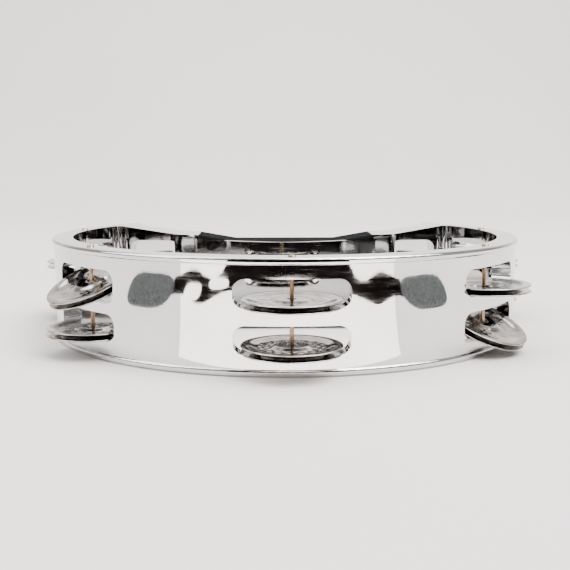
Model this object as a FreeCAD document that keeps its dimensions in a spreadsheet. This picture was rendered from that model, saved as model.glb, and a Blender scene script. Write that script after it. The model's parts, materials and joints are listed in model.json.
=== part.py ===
"""Half-moon tambourine: a plated shell with a grip, five pins and ten pairs of jingles.

The origin is the middle of the footprint, Z = 0 is the plane that the shell rests on, and the
front of the arc faces -Y. Pieces are drawn about the ring's axis, which lies behind the origin,
and are then moved back together. All sizes are in millimetres.
"""

import FreeCAD, Part
import os
import Sketcher
from math import cos, radians, sin

DIMENSIONS = {
    # Shell: an arc of wall, open at the back between its two horns.
    "shell_radius": 127.0,
    "wall": 10.0,
    "shell_height": 52.0,
    "arc_half_angle": 130.0,
    "axis_back": 32.02,
    "horn_round": 4.0,
    "bead_height": 3.4,
    "bead_proud": 0.8,
    "bead_half_angle": 127.0,
    "bead_round": 1.4,
    # Handle: a straight bar with a strut at each end that runs back into the wall.
    "bar_front": -14.0,
    "bar_back": 12.0,
    "bar_front_half": 58.0,
    "bar_back_half": 56.8,
    "strut_front_across": 105.1,
    "strut_front_back": 60.2,
    "strut_back_across": 95.9,
    "strut_back_back": 73.7,
    "bend_round": 22.0,
    "root_round": 3.0,
    # Rail: a lip along the bar's front edge, with its top edge dipped in the middle.
    "rail_half": 57.0,
    "rail_thick": 3.0,
    "rail_foot": 3.0,
    "rail_drop": 1.0,
    "rail_dip": 2.8,
    # Grip: a soft sleeve round the top, back and underside of the bar.
    "grip_half": 48.0,
    "grip_waist_half": 28.0,
    "grip_dip": 3.5,
    "grip_thick": 3.0,
    "grip_back_thick": 4.0,
    "grip_round": 1.6,
    "grip_foot": 0.6,
    # Slots: two rows at each of five stations, a seventh of a turn apart.
    "slot_width": 51.6,
    "slot_height": 13.0,
    "slot_round": 5.5,
    "row_offset": 10.2,
    "slot_start": 113.5,
    # Pins: one at each station, through both of its slots.
    "pin_circle": 121.5,
    "pin_radius": 0.95,
    "pin_foot": 4.0,
    "head_radius": 1.9,
    "head_height": 0.6,
    # Jingles: thin dished discs, back to back in pairs.
    "jingle_radius": 22.5,
    "jingle_hole": 2.0,
    "sheet_thick": 0.6,
    "dish_depth": 1.1,
    "lip_inner": 20.5,
    "ring_outer": 15.5,
    "ring_inner": 9.5,
    "boss_flat": 7.5,
    "boss_height": 1.0,
    "pair_gap": 0.1,
    "sill_gap": 0.56,
    "tip_angle": 25.0,
    "tip_lift": 4.75,
}

PITCH = 360.0 / 7.0
STATIONS = {"left_back": -2, "left_front": -1, "front": 0, "right_front": 1, "right_back": 2}
ROWS = {"lower": -1, "upper": 1}
TIPPED_PAIRS = {("left_front", "upper"), ("right_front", "lower")}
Z_AXIS = FreeCAD.Vector(0, 0, 1)
X_AXIS = FreeCAD.Vector(1, 0, 0)

# How far, in mm, an edge may lie from its expected place in plan and still be picked.
EDGE_REACH = 1.5
# The struts' roots lie on the wall's inner circle between these distances behind the ring's centre.
ROOT_NEAREST = 35.0
ROOT_FARTHEST = 72.0
ROOT_OFF_CIRCLE = 2.0


def make_sheet(doc):
    """Put every driving dimension in a spreadsheet, one row each, under its own alias."""
    sheet = doc.addObject("Spreadsheet::Sheet", "sizes")
    for row, (alias, value) in enumerate(DIMENSIONS.items(), start=1):
        sheet.set(f"A{row}", alias)
        sheet.set(f"B{row}", str(value))
        sheet.setAlias(f"B{row}", alias)
    doc.recompute()
    return sheet


def bind(item, **expressions):
    """Bind each named property of an object to an expression over the sheet's aliases."""
    for name, expression in expressions.items():
        item.setExpression(name.replace("_at_", "."), expression)


def origin_plane(body, role):
    """Find one of a body's own origin planes by its role."""
    return next(feature for feature in body.Origin.OriginFeatures if feature.Role == role)


def draw_polygon(sketch, corners):
    """Draw a closed polygon and bind each corner's two coordinates to expressions."""
    points = []
    for across, up in corners:
        points.append(FreeCAD.Vector(sketch.evalExpression(across), sketch.evalExpression(up), 0))
    for start, end in zip(points, points[1:] + points[:1]):
        sketch.addGeometry(Part.LineSegment(start, end), False)
    count = len(points)
    for index in range(count):
        sketch.addConstraint(Sketcher.Constraint("Coincident", index, 2, (index + 1) % count, 1))
    for index, (across, up) in enumerate(corners):
        for kind, value, expression in (
            ("DistanceX", points[index].x, across),
            ("DistanceY", points[index].y, up),
        ):
            number = sketch.addConstraint(Sketcher.Constraint(kind, -1, 1, index, 1, value))
            sketch.setExpression(f"Constraints[{number}]", expression)


def body_sketch(body, role, name, corners):
    """Add a polygon sketch to a body, on one of the body's origin planes."""
    sketch = body.newObject("Sketcher::SketchObject", name)
    sketch.AttachmentSupport = (origin_plane(body, role), [""])
    sketch.MapMode = "FlatFace"
    draw_polygon(sketch, corners)
    return sketch


def cylinder(doc, name, radius, height, base="0"):
    """Make an upright cylinder on the ring's axis, with its sizes bound to expressions."""
    item = doc.addObject("Part::Cylinder", name)
    bind(item, Radius=radius, Height=height)
    item.setExpression("Placement.Base.z", base)
    return item


def arc_sector(doc, name, radius, height, half_angle, base="0"):
    """Make a cylinder sector that is centred on the front and open at the back."""
    item = cylinder(doc, name, radius, height, base)
    item.setExpression("Angle", f"2 * {half_angle}")
    item.setExpression("Placement.Rotation.Axis.x", "0")
    item.setExpression("Placement.Rotation.Axis.y", "0")
    item.setExpression("Placement.Rotation.Axis.z", "1")
    item.setExpression("Placement.Rotation.Angle", f"-90 - {half_angle}")
    return item


def combine(doc, kind, name, base, tool):
    """Join or cut two objects into one."""
    item = doc.addObject(kind, name)
    item.Base = base
    item.Tool = tool
    return item


def round_edges(doc, name, base, chosen, radius):
    """Round those edges of an object that a test picks out."""
    doc.recompute()
    item = doc.addObject("Part::Fillet", name)
    item.Base = base
    numbers = [number for number, edge in enumerate(base.Shape.Edges, start=1) if chosen(edge)]
    item.Edges = [(number, radius, radius) for number in numbers]
    return item


def is_upright(edge):
    """Say whether an edge is a straight vertical line."""
    return isinstance(edge.Curve, Part.Line) and abs(edge.Curve.Direction.z) > 0.999


def upright_near(across, back):
    """Make a test for vertical edges close to a place in plan, on either side of the middle."""
    def test(edge):
        place = edge.CenterOfMass
        near = abs(abs(place.x) - across) < EDGE_REACH and abs(place.y - back) < EDGE_REACH
        return is_upright(edge) and near
    return test


def make_handle(doc):
    """Make the bar and its two struts as one upright slab."""
    outline = doc.addObject("Sketcher::SketchObject", "handle_outline")
    right = [
        ("sizes.bar_front_half", "sizes.bar_front"),
        ("sizes.strut_front_across", "sizes.strut_front_back"),
        ("sizes.strut_back_across", "sizes.strut_back_back"),
        ("sizes.bar_back_half", "sizes.bar_back"),
    ]
    left = [(f"-1 * {across}", back) for across, back in reversed(right)]
    draw_polygon(outline, right + left)
    slab = doc.addObject("Part::Extrusion", "handle_slab")
    slab.Base = outline
    slab.DirMode = "Custom"
    slab.Dir = Z_AXIS
    slab.Solid = True
    bind(slab, LengthFwd="sizes.shell_height")
    return slab


def make_bead(doc, name, base):
    """Make the rounded band that stands proud round one edge of the wall."""
    outside = arc_sector(
        doc, f"{name}_outside", "sizes.shell_radius + sizes.bead_proud", "sizes.bead_height",
        "sizes.bead_half_angle", base,
    )
    inside = cylinder(
        doc, f"{name}_inside", "sizes.shell_radius - sizes.wall / 2", "sizes.bead_height", base
    )
    band = combine(doc, "Part::Cut", f"{name}_band", outside, inside)
    outer = DIMENSIONS["shell_radius"] + DIMENSIONS["bead_proud"]

    def on_outer_rim(edge):
        return isinstance(edge.Curve, Part.Circle) and abs(edge.Curve.Radius - outer) < 0.01

    return round_edges(doc, name, band, on_outer_rim, DIMENSIONS["bead_round"])


def make_slot(doc, station, row):
    """Make the cutter for one slot, which runs outwards through the wall."""
    name = f"slot_{station}_{row}"
    block = doc.addObject("Part::Box", f"{name}_block")
    bind(block, Length="sizes.slot_width", Width="sizes.wall * 2", Height="sizes.slot_height")
    cutter = round_edges(
        doc, name, block,
        lambda edge: abs(edge.tangentAt(edge.FirstParameter).y) > 0.999,
        DIMENSIONS["slot_round"],
    )
    turn = FreeCAD.Rotation(Z_AXIS, STATIONS[station] * PITCH)
    middle = row_height(row)
    corner = FreeCAD.Vector(
        -DIMENSIONS["slot_width"] / 2,
        -DIMENSIONS["slot_start"] - DIMENSIONS["wall"] * 2,
        middle - DIMENSIONS["slot_height"] / 2,
    )
    cutter.Placement = FreeCAD.Placement(turn.multVec(corner), turn)
    return cutter


def row_height(row):
    """Give the height of the middle of one row of slots."""
    return DIMENSIONS["shell_height"] / 2 + ROWS[row] * DIMENSIONS["row_offset"]


def station_point(station, radius):
    """Give the place in plan of a point at one station, at a distance from the ring's axis."""
    angle = radians(STATIONS[station] * PITCH)
    return FreeCAD.Vector(radius * sin(angle), -radius * cos(angle), 0)


def make_pin_bore(doc, station):
    """Make the cutter for the hole that one pin is pressed into."""
    bore = doc.addObject("Part::Cylinder", f"bore_{station}")
    bind(bore, Radius="sizes.pin_radius", Height="sizes.shell_height - sizes.pin_foot + 1")
    bore.Placement.Base = station_point(station, DIMENSIONS["pin_circle"])
    bore.setExpression("Placement.Base.z", "sizes.pin_foot")
    return bore


def make_grip_notch(doc):
    """Make the cutter for the step that the grip fills, which leaves the bar's core."""
    block = doc.addObject("Part::Box", "notch_block")
    bind(
        block, Length="2 * sizes.grip_half", Width="sizes.bar_back - sizes.bar_front + 2",
        Height="sizes.shell_height + 2",
    )
    block.setExpression("Placement.Base.x", "-1 * sizes.grip_half")
    block.setExpression("Placement.Base.y", "sizes.bar_front - 1")
    block.setExpression("Placement.Base.z", "-1")
    core = doc.addObject("Part::Box", "notch_core")
    bind(
        core, Length="2 * sizes.grip_half",
        Width="sizes.bar_back - sizes.bar_front - sizes.grip_back_thick + 1",
        Height="sizes.shell_height - 2 * (sizes.grip_dip + sizes.grip_thick)",
    )
    core.setExpression("Placement.Base.x", "-1 * sizes.grip_half")
    core.setExpression("Placement.Base.y", "sizes.bar_front - 1")
    core.setExpression("Placement.Base.z", "sizes.grip_dip + sizes.grip_thick")
    return combine(doc, "Part::Cut", "grip_notch", block, core)


def make_rail(doc):
    """Make the lip along the bar's front edge: a strip whose top edge is one long shallow arc."""
    strip = doc.addObject("Part::Box", "rail_strip")
    bind(
        strip, Length="2 * sizes.rail_half", Width="sizes.rail_thick",
        Height="sizes.shell_height - sizes.rail_drop - sizes.rail_foot",
    )
    strip.setExpression("Placement.Base.x", "-1 * sizes.rail_half")
    strip.setExpression("Placement.Base.y", "sizes.bar_front - sizes.rail_thick")
    strip.setExpression("Placement.Base.z", "sizes.rail_foot")
    curve = "((sizes.rail_half * sizes.rail_half) / (2 * sizes.rail_dip) + sizes.rail_dip / 2)"
    hollow = doc.addObject("Part::Cylinder", "rail_hollow")
    bind(hollow, Radius=curve, Height="sizes.rail_thick + 2")
    lying = FreeCAD.Rotation(X_AXIS, -90)
    hollow.Placement = FreeCAD.Placement(FreeCAD.Vector(0, 0, 0), lying)
    hollow.setExpression("Placement.Base.y", "sizes.bar_front - sizes.rail_thick - 1")
    hollow.setExpression(
        "Placement.Base.z", f"sizes.shell_height - sizes.rail_drop - sizes.rail_dip + {curve}"
    )
    return combine(doc, "Part::Cut", "rail", strip, hollow)


def make_shell(doc):
    """Make the shell: wall, horns, handle and beads, with its slots and pin holes."""
    wall_disc = arc_sector(
        doc, "wall_disc", "sizes.shell_radius", "sizes.shell_height", "sizes.arc_half_angle"
    )
    mouth = cylinder(doc, "mouth", "sizes.shell_radius - sizes.wall", "sizes.shell_height")
    arc = combine(doc, "Part::Cut", "wall_arc", wall_disc, mouth)
    end = radians(DIMENSIONS["arc_half_angle"])
    tip_radii = (DIMENSIONS["shell_radius"], DIMENSIONS["shell_radius"] - DIMENSIONS["wall"])
    tip_tests = [upright_near(radius * sin(end), -radius * cos(end)) for radius in tip_radii]
    horned = round_edges(
        doc, "horned_arc", arc, lambda edge: any(test(edge) for test in tip_tests),
        DIMENSIONS["horn_round"],
    )
    bends = [
        upright_near(DIMENSIONS["bar_front_half"], DIMENSIONS["bar_front"]),
        upright_near(DIMENSIONS["bar_back_half"], DIMENSIONS["bar_back"]),
    ]
    handle = round_edges(
        doc, "handle", make_handle(doc), lambda edge: any(test(edge) for test in bends),
        DIMENSIONS["bend_round"],
    )
    frame = combine(doc, "Part::Fuse", "frame", horned, handle)
    inner = DIMENSIONS["shell_radius"] - DIMENSIONS["wall"]

    def at_strut_root(edge):
        place = edge.CenterOfMass
        off_circle = abs(place.x ** 2 + place.y ** 2 - inner ** 2) ** 0.5
        on_wall = off_circle < ROOT_OFF_CIRCLE and ROOT_NEAREST < place.y < ROOT_FARTHEST
        return is_upright(edge) and on_wall

    rooted = round_edges(doc, "rooted_frame", frame, at_strut_root, DIMENSIONS["root_round"])
    bottom_bead = make_bead(doc, "bottom_bead", "0")
    top_bead = make_bead(doc, "top_bead", "sizes.shell_height - sizes.bead_height")
    banded = doc.addObject("Part::MultiFuse", "banded_frame")
    banded.Shapes = [rooted, bottom_bead, top_bead]
    cutters = [make_slot(doc, station, row) for station in STATIONS for row in ROWS]
    cutters += [make_pin_bore(doc, station) for station in STATIONS]
    cutter = doc.addObject("Part::MultiFuse", "cutters")
    cutter.Shapes = cutters
    slotted = combine(doc, "Part::Cut", "slotted_frame", banded, cutter)
    notched = combine(doc, "Part::Cut", "notched_frame", slotted, make_grip_notch(doc))
    shell = combine(doc, "Part::Fuse", "shell", notched, make_rail(doc))
    shell.Label = "shell"
    return shell


def make_grip(doc):
    """Make the grip: waisted along its length, open at the front where the bar shows."""
    body = doc.addObject("PartDesign::Body", "grip")
    top = "sizes.shell_height"
    right = [
        ("sizes.grip_half", "sizes.grip_foot"),
        ("sizes.grip_half", top),
        ("sizes.grip_waist_half", f"{top} - sizes.grip_dip"),
    ]
    left = [(f"-1 * {across}", up) for across, up in reversed(right)]
    waist = [
        ("-1 * sizes.grip_waist_half", "sizes.grip_dip"),
        ("sizes.grip_waist_half", "sizes.grip_dip"),
    ]
    outline = body_sketch(body, "XZ_Plane", "grip_outline", right + left + waist)
    pad = body.newObject("PartDesign::Pad", "grip_block")
    pad.Profile = outline
    pad.SideType = "Two sides"
    bind(pad, Length="-1 * sizes.bar_front", Length2="sizes.bar_back")
    doc.recompute()
    pocket = body.newObject("PartDesign::SubtractiveBox", "core_space")
    bind(
        pocket, Length="2 * sizes.grip_half",
        Width="sizes.bar_back - sizes.bar_front - sizes.grip_back_thick",
        Height="sizes.shell_height - 2 * (sizes.grip_dip + sizes.grip_thick)",
    )
    pocket.setExpression("Placement.Base.x", "-1 * sizes.grip_half")
    pocket.setExpression("Placement.Base.y", "sizes.bar_front")
    pocket.setExpression("Placement.Base.z", "sizes.grip_dip + sizes.grip_thick")
    doc.recompute()
    middle = DIMENSIONS["shell_height"] / 2
    front = DIMENSIONS["bar_front"]
    back = DIMENSIONS["bar_back"]

    def is_long_edge(edge):
        place = edge.CenterOfMass
        outside = abs(place.z - middle) > middle - DIMENSIONS["grip_dip"] - 1
        at_side = min(abs(place.y - front), abs(place.y - back)) < 0.01
        return outside and at_side and abs(edge.tangentAt(edge.FirstParameter).x) > 0.9

    names = []
    for number, edge in enumerate(pocket.Shape.Edges, start=1):
        if is_long_edge(edge):
            names.append(f"Edge{number}")
    rounding = body.newObject("PartDesign::Fillet", "grip_rounding")
    rounding.Base = (pocket, names)
    bind(rounding, Radius="sizes.grip_round")
    body.Tip = rounding
    body.Label = "grip"
    return body


def revolved_body(doc, name, profile):
    """Make a body by turning a profile, given as radius and height, about the Z axis."""
    body = doc.addObject("PartDesign::Body", name)
    sketch = body_sketch(body, "XZ_Plane", f"{name}_profile", profile)
    turned = body.newObject("PartDesign::Revolution", f"{name}_turned")
    turned.Profile = sketch
    turned.ReferenceAxis = (sketch, ["V_Axis"])
    turned.Angle = 360
    body.Label = name
    return body


def make_pin(doc, station):
    """Make one pin: a straight shank with a small flat head on top of the wall."""
    top = "sizes.shell_height"
    head_top = f"{top} + sizes.head_height"
    profile = [
        ("0", "sizes.pin_foot"),
        ("sizes.pin_radius", "sizes.pin_foot"),
        ("sizes.pin_radius", top),
        ("sizes.head_radius", top),
        ("sizes.head_radius * 0.8", head_top),
        ("0", head_top),
    ]
    pin = revolved_body(doc, f"pin_{station}", profile)
    pin.Placement.Base = station_point(station, DIMENSIONS["pin_circle"])
    return pin


def jingle_profile(side):
    """Give a jingle's section: boss, flat ring, slope and lip. Side is 1 up and -1 down."""
    line = [
        ("sizes.jingle_hole", "sizes.boss_height"),
        ("sizes.boss_flat", "sizes.boss_height"),
        ("sizes.ring_inner", "0"),
        ("sizes.ring_outer", "0"),
        ("sizes.lip_inner", "sizes.dish_depth"),
        ("sizes.jingle_radius", "sizes.dish_depth"),
    ]
    near = [(out, f"{side} * (sizes.pair_gap / 2 + {up})") for out, up in line]
    far = [
        (out, f"{side} * (sizes.pair_gap / 2 + {up} + sizes.sheet_thick)")
        for out, up in reversed(line)
    ]
    return near + far


def pair_half_height():
    """Give half the height of a pair of jingles, over their lips."""
    names = ("pair_gap", "dish_depth", "sheet_thick")
    gap, dish, sheet = (DIMENSIONS[name] for name in names)
    return gap / 2 + dish + sheet


def pair_placement(station, row):
    """Give where a pair lies at rest: level on its sill, or tipped outwards over the edge."""
    sill = row_height(row) - DIMENSIONS["slot_height"] / 2
    place = station_point(station, DIMENSIONS["pin_circle"])
    turn = FreeCAD.Rotation(Z_AXIS, STATIONS[station] * PITCH)
    if (station, row) in TIPPED_PAIRS:
        place.z = sill + DIMENSIONS["tip_lift"]
        return FreeCAD.Placement(place, turn * FreeCAD.Rotation(X_AXIS, DIMENSIONS["tip_angle"]))
    place.z = sill + DIMENSIONS["sill_gap"] + pair_half_height()
    return FreeCAD.Placement(place, turn)


def make_pair(doc, station, row):
    """Make one pair of jingles, back to back on their pin."""
    discs = []
    for layer, side in (("top", 1), ("bottom", -1)):
        disc = revolved_body(doc, f"jingle_{station}_{row}_{layer}", jingle_profile(side))
        disc.Placement = pair_placement(station, row)
        discs.append(disc)
    return discs


def check_and_write(doc, pieces):
    """Stop if anything failed, then write one file for each piece."""
    doc.recompute()
    for item in doc.Objects:
        if {"Invalid", "Error"} & set(item.State):
            raise RuntimeError(f"{item.Name} did not compute: {item.State}")
    for piece in pieces:
        if piece.Shape.isNull() or not piece.Shape.isValid() or len(piece.Shape.Solids) != 1:
            raise RuntimeError(f"{piece.Label} is not one valid solid")
    os.makedirs("parts", exist_ok=True)
    for piece in pieces:
        piece.Shape.exportStep(f"parts/{piece.Label}.step")
        print(f"{piece.Label}: {piece.Shape.Volume / 1000:.2f} cm3")


def main():
    """Build the document and write its pieces."""
    doc = FreeCAD.newDocument("tambourine")
    make_sheet(doc)
    pieces = [make_shell(doc), make_grip(doc)]
    pieces += [make_pin(doc, station) for station in STATIONS]
    for station in STATIONS:
        for row in ROWS:
            pieces += make_pair(doc, station, row)
    for piece in pieces:
        bind(piece, Placement_at_Base_at_y=f"{piece.Placement.Base.y} + sizes.axis_back")
    check_and_write(doc, pieces)


main()
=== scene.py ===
"""Looks for the half-moon tambourine: plating, rubber, wire and hammered jingles, in a pale studio."""

import json
import random
from math import cos, exp, hypot, pi, radians, sin

import bpy
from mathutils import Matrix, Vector


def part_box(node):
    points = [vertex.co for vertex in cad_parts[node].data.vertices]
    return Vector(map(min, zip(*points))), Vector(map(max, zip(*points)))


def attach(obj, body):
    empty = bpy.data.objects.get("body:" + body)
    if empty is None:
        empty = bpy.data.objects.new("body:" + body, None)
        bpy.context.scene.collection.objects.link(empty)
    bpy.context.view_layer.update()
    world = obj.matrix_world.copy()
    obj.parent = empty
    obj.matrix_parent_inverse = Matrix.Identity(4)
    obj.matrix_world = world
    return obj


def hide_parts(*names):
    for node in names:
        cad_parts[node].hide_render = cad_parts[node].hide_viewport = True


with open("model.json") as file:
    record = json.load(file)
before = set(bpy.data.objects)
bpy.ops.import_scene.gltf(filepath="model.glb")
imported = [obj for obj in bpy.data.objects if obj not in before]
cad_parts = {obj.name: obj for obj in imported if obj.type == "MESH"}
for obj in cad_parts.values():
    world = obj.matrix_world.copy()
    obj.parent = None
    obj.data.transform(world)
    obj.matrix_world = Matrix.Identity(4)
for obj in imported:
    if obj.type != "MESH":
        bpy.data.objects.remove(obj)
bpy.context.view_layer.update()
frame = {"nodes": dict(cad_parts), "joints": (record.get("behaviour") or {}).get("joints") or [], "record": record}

STATIONS = ("left_back", "left_front", "front", "right_front", "right_back")
ROWS = ("lower", "upper")
SIDES = {"top": 1, "bottom": -1}

# The circle that the pins stand on, in metres.
PIN_CIRCLE = 0.1215

# One jingle's section, in metres: the boss, the hammered flat ring, the slope and the lip.
JINGLE_RADIUS = 0.02248
HOLE_RADIUS = 0.0020
SHEET_THICK = 0.0006
HALF_GAP = 0.00005
BOSS_HEIGHT = 0.0010
BOSS_FLAT = 0.0072
RING_INNER = 0.0098
RING_OUTER = 0.0153
LIP_INNER = 0.0203
DISH_DEPTH = 0.0011
EDGE_ROUND = 0.00022
RADIAL_STEPS = 44
TURN_STEPS = 144

# The hammer marks: how many, how deep, how wide, and how far off the ring's middle the two rows lie.
DIMPLES = 34
DIMPLE_DEPTH = 0.00016
DIMPLE_RADIUS = 0.00125
ROW_OFFSET = 0.0013

# The camera, about the ring's axis, in metres and degrees.
IMAGE_PIXELS = 570
FOCAL_PIXELS = 870.0
SENSOR = 36.0
CAMERA_DISTANCE = 0.493
CAMERA_HEIGHT = 0.093
CAMERA_PITCH = 8.19
CAMERA_AROUND = 1.4

# The bright paper's half width and distance in front of the ring's axis, at its near and far edges.
PAPER_NEAR = (0.074, 0.136)
PAPER_FAR = (1.2, 1.115)
# Where bright paper shows between the dark things: two directions in degrees, two distances.
GAPS_IN_DARK = ((-38.5, -32.0, 0.305, 0.392), (-29.5, -23.5, 0.362, 0.425))
# The grey cloths: two directions in degrees each, and the two distances they lie between.
GREY_CLOTHS = (("left", -64.0, -43.0), ("right", 43.0, 63.0))
GREY_NEAR = 0.262
GREY_FAR = 0.44
# The dark room: how far in front it stands, its half width and its height.
ROOM_DISTANCE = 1.25
ROOM_HALF_WIDTH = 0.62
ROOM_HEIGHT = 0.85
# Heights that keep the cards clear of the floor and of each other.
PAPER_LEVEL = 0.0004
DARK_LEVEL = 0.0012
GAP_LEVEL = 0.0016

PAPER_LIGHT = 5.6
LIGHT_SHARE = 4.6
WORLD_LIGHT = 0.55


def ring_centre():
    """Give the ring's axis on the floor: a ring radius behind the foremost pin's circle."""
    low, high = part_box("pin_front")
    return Vector((0.0, (low.y + high.y) / 2 + PIN_CIRCLE, 0.0))


# ---------------------------------------------------------------- material helpers

def new_material(name):
    """Make a node material and give it with its node tree and shader."""
    material = bpy.data.materials.new(name)
    material.use_nodes = True
    tree = material.node_tree
    return material, tree, tree.nodes["Principled BSDF"]


def object_point(tree):
    """Give the output that holds a point's place in its own object."""
    return tree.nodes.new("ShaderNodeTexCoord").outputs["Object"]


def noise(tree, point, scale, detail=3.0, roughness=0.55):
    """Add a noise texture and give its value output."""
    node = tree.nodes.new("ShaderNodeTexNoise")
    node.inputs["Scale"].default_value = scale
    node.inputs["Detail"].default_value = detail
    node.inputs["Roughness"].default_value = roughness
    tree.links.new(point, node.inputs["Vector"])
    return node.outputs["Fac"]


def ramp(tree, value, stops):
    """Add a colour ramp over a value, from (place, colour) stops."""
    node = tree.nodes.new("ShaderNodeValToRGB")
    elements = node.color_ramp.elements
    while len(elements) < len(stops):
        elements.new(0.5)
    for element, (place, colour) in zip(elements, stops):
        element.position = place
        element.color = (*colour, 1.0)
    tree.links.new(value, node.inputs["Fac"])
    return node.outputs["Color"]


def spread(tree, value, low, high, start=0.3, end=0.7):
    """Spread a noise value over a new range."""
    node = tree.nodes.new("ShaderNodeMapRange")
    node.inputs["From Min"].default_value = start
    node.inputs["From Max"].default_value = end
    node.inputs["To Min"].default_value = low
    node.inputs["To Max"].default_value = high
    tree.links.new(value, node.inputs["Value"])
    return node.outputs["Result"]


def bump(tree, height, distance, strength=1.0, under=None):
    """Add a bump, on top of another if one is given, and give its normal output."""
    node = tree.nodes.new("ShaderNodeBump")
    node.inputs["Distance"].default_value = distance
    node.inputs["Strength"].default_value = strength
    tree.links.new(height, node.inputs["Height"])
    if under is not None:
        tree.links.new(under, node.inputs["Normal"])
    return node.outputs["Normal"]


def stretched(tree, point, scale):
    """Scale a point by a different amount along each axis."""
    node = tree.nodes.new("ShaderNodeMapping")
    node.inputs["Scale"].default_value = scale
    tree.links.new(point, node.inputs["Vector"])
    return node.outputs["Vector"]


# ---------------------------------------------------------------- materials

def plated_plastic():
    """Bright plating over a moulding: slow ripples, fine polishing marks and faint hazing."""
    material, tree, shader = new_material("plated_plastic")
    point = object_point(tree)
    shader.inputs["Metallic"].default_value = 1.0
    haze = noise(tree, point, 35.0, detail=5.0)
    tint = ramp(tree, haze, [(0.3, (0.60, 0.60, 0.605)), (0.7, (0.69, 0.685, 0.68))])
    tree.links.new(tint, shader.inputs["Base Color"])
    wipe = noise(tree, stretched(tree, point, (60.0, 60.0, 900.0)), 1.0, detail=4.0)
    tree.links.new(spread(tree, wipe, 0.015, 0.06), shader.inputs["Roughness"])
    ripple = bump(tree, noise(tree, point, 22.0, detail=0.0), 0.0011, 0.3)
    skin = bump(tree, noise(tree, point, 420.0, detail=2.0), 0.00001, 0.25, ripple)
    tree.links.new(skin, shader.inputs["Normal"])
    return material


def grip_rubber():
    """Dark matte rubber with a fine pebbled skin and slightly polished patches."""
    material, tree, shader = new_material("grip_rubber")
    point = object_point(tree)
    wear = noise(tree, point, 60.0, detail=5.0)
    tint = ramp(tree, wear, [(0.25, (0.0035, 0.0038, 0.004)), (0.75, (0.007, 0.0075, 0.008))])
    tree.links.new(tint, shader.inputs["Base Color"])
    tree.links.new(spread(tree, wear, 0.80, 0.95), shader.inputs["Roughness"])
    shader.inputs["Specular IOR Level"].default_value = 0.03
    cells = tree.nodes.new("ShaderNodeTexVoronoi")
    cells.inputs["Scale"].default_value = 1400.0
    tree.links.new(point, cells.inputs["Vector"])
    pebbles = bump(tree, cells.outputs["Distance"], 0.00012, 0.6)
    soft = bump(tree, noise(tree, point, 130.0), 0.0002, 0.4, pebbles)
    tree.links.new(soft, shader.inputs["Normal"])
    return material


def drawn_wire():
    """Brass-coloured wire with marks along its length and darker tarnish."""
    material, tree, shader = new_material("drawn_wire")
    point = object_point(tree)
    shader.inputs["Metallic"].default_value = 1.0
    tarnish = noise(tree, stretched(tree, point, (900.0, 900.0, 160.0)), 1.0, detail=4.0)
    tint = ramp(
        tree, tarnish,
        [(0.25, (0.10, 0.055, 0.035)), (0.5, (0.30, 0.19, 0.11)), (0.75, (0.55, 0.41, 0.26))],
    )
    tree.links.new(tint, shader.inputs["Base Color"])
    marks = noise(tree, stretched(tree, point, (4000.0, 4000.0, 60.0)), 1.0)
    tree.links.new(spread(tree, marks, 0.18, 0.38), shader.inputs["Roughness"])
    tree.links.new(bump(tree, marks, 0.00003, 0.5), shader.inputs["Normal"])
    return material


def jingle_metal():
    """Bright plated sheet: rings from the polishing wheel, small scuffs, a tone that differs at random, and
    painted shade: the base colour darkened overall for the floor's shadow under the jingles and the dark room they
    mirror.
    """
    material, tree, shader = new_material("jingle_metal")
    shader.inputs["Metallic"].default_value = 1.0
    local = tree.nodes.new("ShaderNodeAttribute")
    local.attribute_name = "disc_point"
    split = tree.nodes.new("ShaderNodeSeparateXYZ")
    tree.links.new(local.outputs["Vector"], split.inputs["Vector"])
    flat = tree.nodes.new("ShaderNodeCombineXYZ")
    tree.links.new(split.outputs["X"], flat.inputs["X"])
    tree.links.new(split.outputs["Y"], flat.inputs["Y"])
    length = tree.nodes.new("ShaderNodeVectorMath")
    length.operation = "LENGTH"
    tree.links.new(flat.outputs["Vector"], length.inputs[0])
    wheel = tree.nodes.new("ShaderNodeTexNoise")
    wheel.noise_dimensions = "1D"
    wheel.inputs["Scale"].default_value = 5200.0
    wheel.inputs["Detail"].default_value = 3.0
    tree.links.new(length.outputs["Value"], wheel.inputs["W"])
    tone = noise(tree, local.outputs["Vector"], 210.0, detail=5.0)
    # Painted shade: both colour stops are set dark so the whole metal stands in for the floor's shadow under the
    # jingles and the dark room they mirror; the noise between the stops is tone that differs at random.
    tint = ramp(tree, tone, [(0.25, (0.22, 0.212, 0.20)), (0.7, (0.56, 0.545, 0.53))])
    tree.links.new(tint, shader.inputs["Base Color"])
    scuffs = noise(tree, local.outputs["Vector"], 900.0, detail=6.0)
    tree.links.new(spread(tree, scuffs, 0.04, 0.16), shader.inputs["Roughness"])
    rings = bump(tree, wheel.outputs["Fac"], 0.00002, 0.45)
    dents = bump(tree, tone, 0.00012, 0.4, rings)
    tree.links.new(dents, shader.inputs["Normal"])
    return material


# ---------------------------------------------------------------- jingles

def smooth(start, end, value):
    """Rise smoothly from 0 to 1 as a value goes from start to end."""
    share = min(max((value - start) / (end - start), 0.0), 1.0)
    return share * share * (3.0 - 2.0 * share)


def sheet_height(radius):
    """Give the height of the sheet's inner face over the pair's middle, less the half gap."""
    boss = BOSS_HEIGHT * (1.0 - smooth(BOSS_FLAT, RING_INNER, radius))
    return boss + DISH_DEPTH * smooth(RING_OUTER, LIP_INNER, radius)


def hammer_marks(source):
    """Choose the places of one disc's hammer marks: two uneven rows round the flat ring."""
    marks = []
    for index in range(DIMPLES):
        angle = 2 * pi * (index + source.uniform(-0.25, 0.25)) / DIMPLES
        middle = (RING_INNER + RING_OUTER) / 2
        offset = ROW_OFFSET if index % 2 else -ROW_OFFSET
        radius = middle + offset + source.uniform(-0.0003, 0.0003)
        size = DIMPLE_RADIUS * source.uniform(0.85, 1.2)
        marks.append((radius * cos(angle), radius * sin(angle), size))
    return marks


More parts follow.
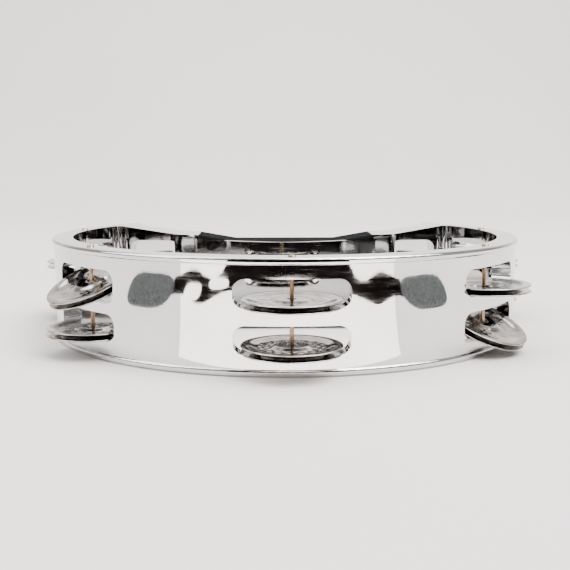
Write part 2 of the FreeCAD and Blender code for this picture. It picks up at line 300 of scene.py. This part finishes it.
def dimple_depth(across, along, marks):
    """Give how far the hammer has pushed the sheet in at one place."""
    depth = 0.0
    for mark_across, mark_along, size in marks:
        distance = hypot(across - mark_across, along - mark_along)
        if distance < 3 * size:
            depth = max(depth, DIMPLE_DEPTH * exp(-((distance / size) ** 2)))
    return depth


def section_points():
    """Give the closed section: the inner face outwards, the rim, the outer face inwards, the hole."""
    span = JINGLE_RADIUS - HOLE_RADIUS - 2 * EDGE_ROUND
    radii = [HOLE_RADIUS + EDGE_ROUND + span * step / RADIAL_STEPS for step in range(RADIAL_STEPS + 1)]
    inner = [(radius, sheet_height(radius), False) for radius in radii]
    outer = [(radius, sheet_height(radius) + SHEET_THICK, True) for radius in reversed(radii)]
    rim_low = sheet_height(JINGLE_RADIUS)
    hole_low = sheet_height(HOLE_RADIUS)
    rim = [(JINGLE_RADIUS, rim_low + share * SHEET_THICK, False) for share in (0.3, 0.5, 0.7)]
    hole = [(HOLE_RADIUS, hole_low + share * SHEET_THICK, False) for share in (0.7, 0.5, 0.3)]
    return inner + rim + outer + hole


def make_jingle(node, spin, side, material):
    """Make one hammered jingle about its spin axis, in place of its plain node."""
    source = random.Random(node)
    marks = hammer_marks(source)
    section = section_points()
    points = []
    for turn in range(TURN_STEPS):
        angle = 2 * pi * turn / TURN_STEPS
        for radius, height, hammered in section:
            across, along = radius * cos(angle), radius * sin(angle)
            pushed = dimple_depth(across, along, marks) if hammered else 0.0
            points.append((across, along, side * (HALF_GAP + height - pushed)))
    count = len(section)
    faces = []
    for turn in range(TURN_STEPS):
        after = (turn + 1) % TURN_STEPS
        for step in range(count):
            following = (step + 1) % count
            corners = [turn * count + step, after * count + step,
                       after * count + following, turn * count + following]
            faces.append(corners if side > 0 else corners[::-1])
    turned = Vector((0, 0, 1)).rotation_difference(Vector(spin["axis"]))
    placed = [turned @ Vector(point) + Vector(spin["pos_m"]) for point in points]
    mesh = bpy.data.meshes.new(f"{node}_hammered")
    mesh.from_pydata(placed, [], faces)
    attribute = mesh.attributes.new("disc_point", "FLOAT_VECTOR", "POINT")
    attribute.data.foreach_set("vector", [value for point in points for value in point])
    mesh.polygons.foreach_set("use_smooth", [True] * len(faces))
    mesh.materials.append(material)
    mesh.update()
    piece = bpy.data.objects.new(f"{node}_hammered", mesh)
    bpy.context.scene.collection.objects.link(piece)
    bpy.context.view_layer.update()
    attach(piece, piece_body(node))
    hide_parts(node)
    return piece


def piece_body(node):
    """Give the body that a node belongs to."""
    bodies = frame["record"]["behaviour"]["bodies"]
    return next(body for body, members in bodies.items() if node in members)


def make_jingles():
    """Make all twenty jingles, each about the axis of its pair's spin joint."""
    joints = {joint["name"]: joint for joint in frame["joints"]}
    metal = jingle_metal()
    for station in STATIONS:
        for row in ROWS:
            spin = joints[f"{station}_{row}_spin"]
            for layer, side in SIDES.items():
                make_jingle(f"jingle_{station}_{row}_{layer}", spin, side, metal)


# ---------------------------------------------------------------- studio

def paint(node, material):
    """Give a carried-over node a material in place of its own."""
    slots = frame["nodes"][node].material_slots
    for slot in slots:
        slot.material = material
    if not slots:
        frame["nodes"][node].data.materials.append(material)


def stage_mesh(name, points, faces, material):
    """Make a piece of the studio, which isn't part of the object."""
    mesh = bpy.data.meshes.new(name)
    mesh.from_pydata(points, [], faces)
    mesh.materials.append(material)
    piece = bpy.data.objects.new(name, mesh)
    bpy.context.scene.collection.objects.link(piece)
    return piece


def only_in_reflections(piece):
    """Let a piece of the studio show in glossy surfaces and nowhere else."""
    piece.visible_camera = False
    piece.visible_diffuse = False
    piece.visible_shadow = False
    piece.visible_transmission = False


def glow(name, colour, strength=1.0, variation=0.0, scale=20.0):
    """Make a plain emitting material, mottled if a variation is given."""
    material = bpy.data.materials.new(name)
    material.use_nodes = True
    tree = material.node_tree
    tree.nodes.clear()
    light = tree.nodes.new("ShaderNodeEmission")
    light.inputs["Strength"].default_value = strength
    out = tree.nodes.new("ShaderNodeOutputMaterial")
    tree.links.new(light.outputs["Emission"], out.inputs["Surface"])
    mottle = noise(tree, object_point(tree), scale, detail=4.0)
    dark = tuple(value * (1.0 - variation) for value in colour)
    tint = ramp(tree, mottle, [(0.35, dark), (0.65, colour)])
    tree.links.new(tint, light.inputs["Color"])
    return material


def make_floor():
    """Make a pale floor that curves up into the backdrop well behind the object."""
    material, tree, shader = new_material("floor_paint")
    point = object_point(tree)
    mottle = noise(tree, point, 3.0)
    tint = ramp(tree, mottle, [(0.3, (0.70, 0.665, 0.648)), (0.7, (0.73, 0.695, 0.678))])
    tree.links.new(tint, shader.inputs["Base Color"])
    tree.links.new(spread(tree, mottle, 0.7, 0.8), shader.inputs["Roughness"])
    shader.inputs["Specular IOR Level"].default_value = 0.0
    half_width, front, bend, radius, top = 4.0, -3.0, 0.9, 0.8, 3.2
    line = [(front, 0.0), (bend, 0.0)]
    for step in range(1, 13):
        angle = radians(90.0 * step / 12)
        line.append((bend + radius * sin(angle), radius - radius * cos(angle)))
    line.append((bend + radius, top))
    below = -0.0002
    points = [(side * half_width, y, z + below) for y, z in line for side in (-1, 1)]
    faces = [(2 * i, 2 * i + 1, 2 * i + 3, 2 * i + 2) for i in range(len(line) - 1)]
    floor = stage_mesh("floor", points, faces, material)
    floor.data.polygons.foreach_set("use_smooth", [True] * len(faces))


def rounded_patch(low, high, near, far):
    """Give the two edges of a patch with rounded ends, as functions of the direction."""
    middle, half = (near + far) / 2, (far - near) / 2

    def share(angle):
        place = (2 * angle - low - high) / (high - low)
        return max(1.0 - place ** 4, 0.0) ** 0.5

    return (lambda angle: middle - half * share(angle)), (lambda angle: middle + half * share(angle))


def polar_patch(name, centre, near, far, low, high, height, material, steps=72):
    """Make a flat patch between two distances from the ring's axis, each given by the direction."""
    points = []
    for step in range(steps + 1):
        angle = low + (high - low) * step / steps
        for edge in (near, far):
            distance = edge(angle)
            side, front = sin(radians(angle)), cos(radians(angle))
            points.append((centre.x + distance * side, centre.y - distance * front, height))
    faces = [(2 * i, 2 * i + 1, 2 * i + 3, 2 * i + 2) for i in range(steps)]
    only_in_reflections(stage_mesh(name, points, faces, material))


def dark_near(angle):
    """Give how near the dark things in front of the shell come, by direction in degrees."""
    turn = abs(angle)
    reach = 0.420 - 0.105 * smooth(0.0, 34.0, turn)
    return reach + 0.018 * sin(radians(turn * 20.0)) * smooth(4.0, 14.0, turn)


def dark_far(angle):
    """Give how far back the dark things in front of the shell reach, by direction in degrees."""
    turn = abs(angle)
    return 1.3 - 0.85 * smooth(9.0, 28.0, turn) + 0.03 * sin(radians(turn * 22.0))


def make_reflections(centre):
    """Make what the plating mirrors: bright paper in front, dark things past it, a dark room."""
    paper = glow("paper_light", (1.0, 0.905, 0.86), PAPER_LIGHT, 0.03, 4.0)
    card_points = [
        (centre.x + side * half, centre.y - distance, PAPER_LEVEL)
        for half, distance in (PAPER_NEAR, PAPER_FAR)
        for side in (-1, 1)
    ]
    only_in_reflections(stage_mesh("paper_card", card_points, [(0, 2, 3, 1)], paper))
    dark = glow("dark_things", (0.016, 0.011, 0.010), 1.0, 0.8, 60.0)
    polar_patch("dark_things", centre, dark_near, dark_far, -44.0, 44.0, DARK_LEVEL, dark)
    for index, (low, high, near, far) in enumerate(GAPS_IN_DARK):
        gap = rounded_patch(low, high, near, far)
        polar_patch(f"gap_in_dark_{index}", centre, *gap, low, high, GAP_LEVEL, paper)
    grey = glow("grey_cloth", (0.42, 0.44, 0.43), 1.0, 0.75, 420.0)
    for name, low, high in GREY_CLOTHS:
        near, far = rounded_patch(low, high, GREY_NEAR, GREY_FAR)
        polar_patch(f"grey_cloth_{name}", centre, near, far, low, high, DARK_LEVEL, grey)
    room = glow("dark_room", (0.012, 0.011, 0.011), 1.0, 0.6, 3.0)
    distance = centre.y - ROOM_DISTANCE
    points = [(side * ROOM_HALF_WIDTH, distance, z) for z in (0.0, ROOM_HEIGHT) for side in (-1, 1)]
    only_in_reflections(stage_mesh("dark_room", points, [(0, 1, 3, 2)], room))


def add_area_light(name, place, target, size, power, colour=(1.0, 1.0, 1.0)):
    """Add a soft square light that points at a target."""
    data = bpy.data.lights.new(name, "AREA")
    data.shape = "SQUARE"
    data.size = size
    data.energy = power
    data.color = colour
    light = bpy.data.objects.new(name, data)
    bpy.context.scene.collection.objects.link(light)
    light.location = place
    light.rotation_euler = (Vector(target) - Vector(place)).to_track_quat("-Z", "Y").to_euler()


def make_lights(centre):
    """Light the object softly from above and from the right."""
    add_area_light("key", (0.9, -0.5, 1.7), centre, 1.6, 20.0 * LIGHT_SHARE, (1.0, 0.985, 0.97))
    add_area_light("fill", (-1.3, -0.3, 1.2), centre, 1.4, 7.0 * LIGHT_SHARE, (0.97, 0.985, 1.0))
    add_area_light("top", (0.0, 0.5, 1.9), centre, 1.8, 12.0 * LIGHT_SHARE)
    world = bpy.data.worlds.new("studio")
    world.use_nodes = True
    background = world.node_tree.nodes["Background"]
    background.inputs["Color"].default_value = (0.93, 0.94, 0.95, 1.0)
    background.inputs["Strength"].default_value = WORLD_LIGHT
    bpy.context.scene.world = world


def make_camera(centre):
    """Set the camera where the outline puts it: level with the front and a little to its left."""
    data = bpy.data.cameras.new("camera")
    data.sensor_width = SENSOR
    data.lens = FOCAL_PIXELS * SENSOR / IMAGE_PIXELS
    data.clip_start = 0.01
    camera = bpy.data.objects.new("camera", data)
    bpy.context.scene.collection.objects.link(camera)
    around = radians(CAMERA_AROUND)
    camera.location = (
        centre.x - CAMERA_DISTANCE * sin(around),
        centre.y - CAMERA_DISTANCE * cos(around),
        CAMERA_HEIGHT,
    )
    camera.rotation_euler = (radians(90.0 - CAMERA_PITCH), 0.0, -around)
    bpy.context.scene.camera = camera


centre = ring_centre()
make_camera(centre)
make_jingles()
paint("shell", plated_plastic())
paint("grip", grip_rubber())
wire = drawn_wire()
for station in STATIONS:
    paint(f"pin_{station}", wire)
make_floor()
make_reflections(centre)
make_lights(centre)
